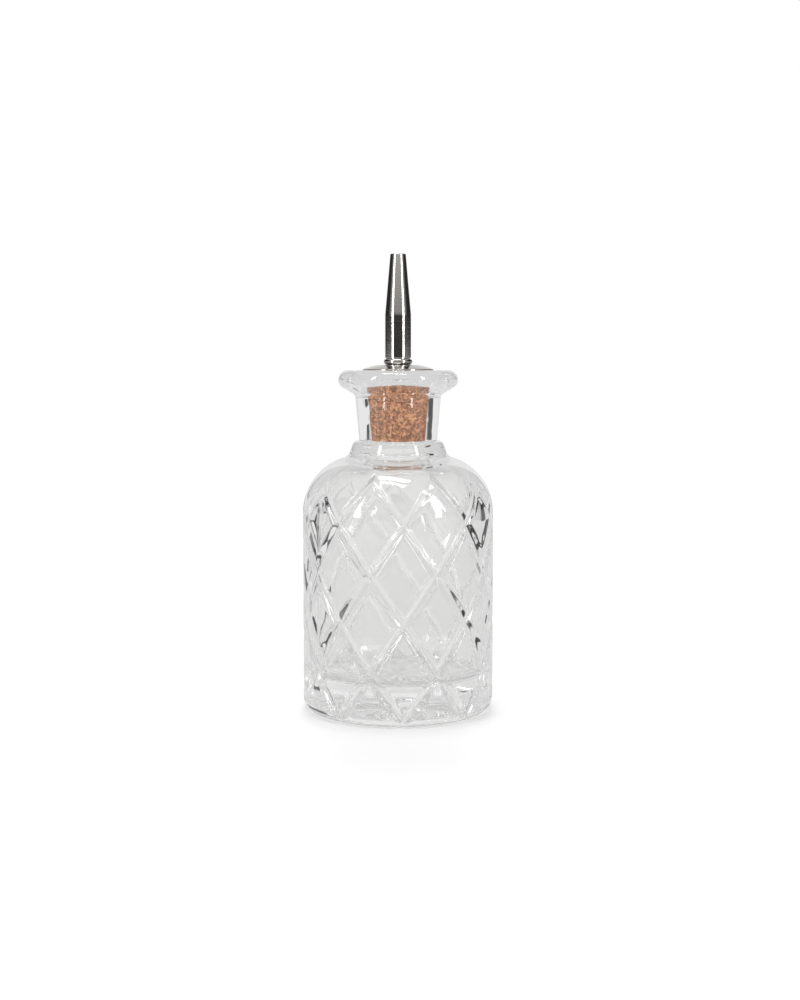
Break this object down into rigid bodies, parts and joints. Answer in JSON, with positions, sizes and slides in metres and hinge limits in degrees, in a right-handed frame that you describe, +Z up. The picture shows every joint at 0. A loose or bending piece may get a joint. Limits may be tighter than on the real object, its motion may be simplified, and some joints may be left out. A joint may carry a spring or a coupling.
{
  "type": "bitters bottle",
  "caption": "Round glass dasher bottle with a diamond cut pattern, a flared lip and a tapered cork stopper that carries a slim steel spout.",
  "frame": {"origin": "centre of the circle that the bottle stands on", "axes": "+Z up along the bottle's axis, towards the spout's tip; the bottle is round, with -Y its front in the picture"},
  "size_m": [0.056, 0.056, 0.1334],
  "materials": {
    "clear_glass": "clear pressed glass, glossy",
    "agglomerated_cork": "agglomerated cork, fine dark specks, matt",
    "polished_steel": "polished stainless steel"
  },
  "bodies": {
    "bottle": {"glass_bottle": "clear_glass"},
    "stopper": {"cork_stopper": "agglomerated_cork", "flange_disc": "polished_steel", "dasher_spout": "polished_steel", "stem_tube": "polished_steel", "retaining_washer": "polished_steel", "dash_insert": "polished_steel"}
  },
  "joints": [
    {"name": "stopper_lift", "type": "slide", "parent": "bottle", "child": "stopper", "axis": [0, 0, 1], "range_m": [0, 0.04]}
  ]
}
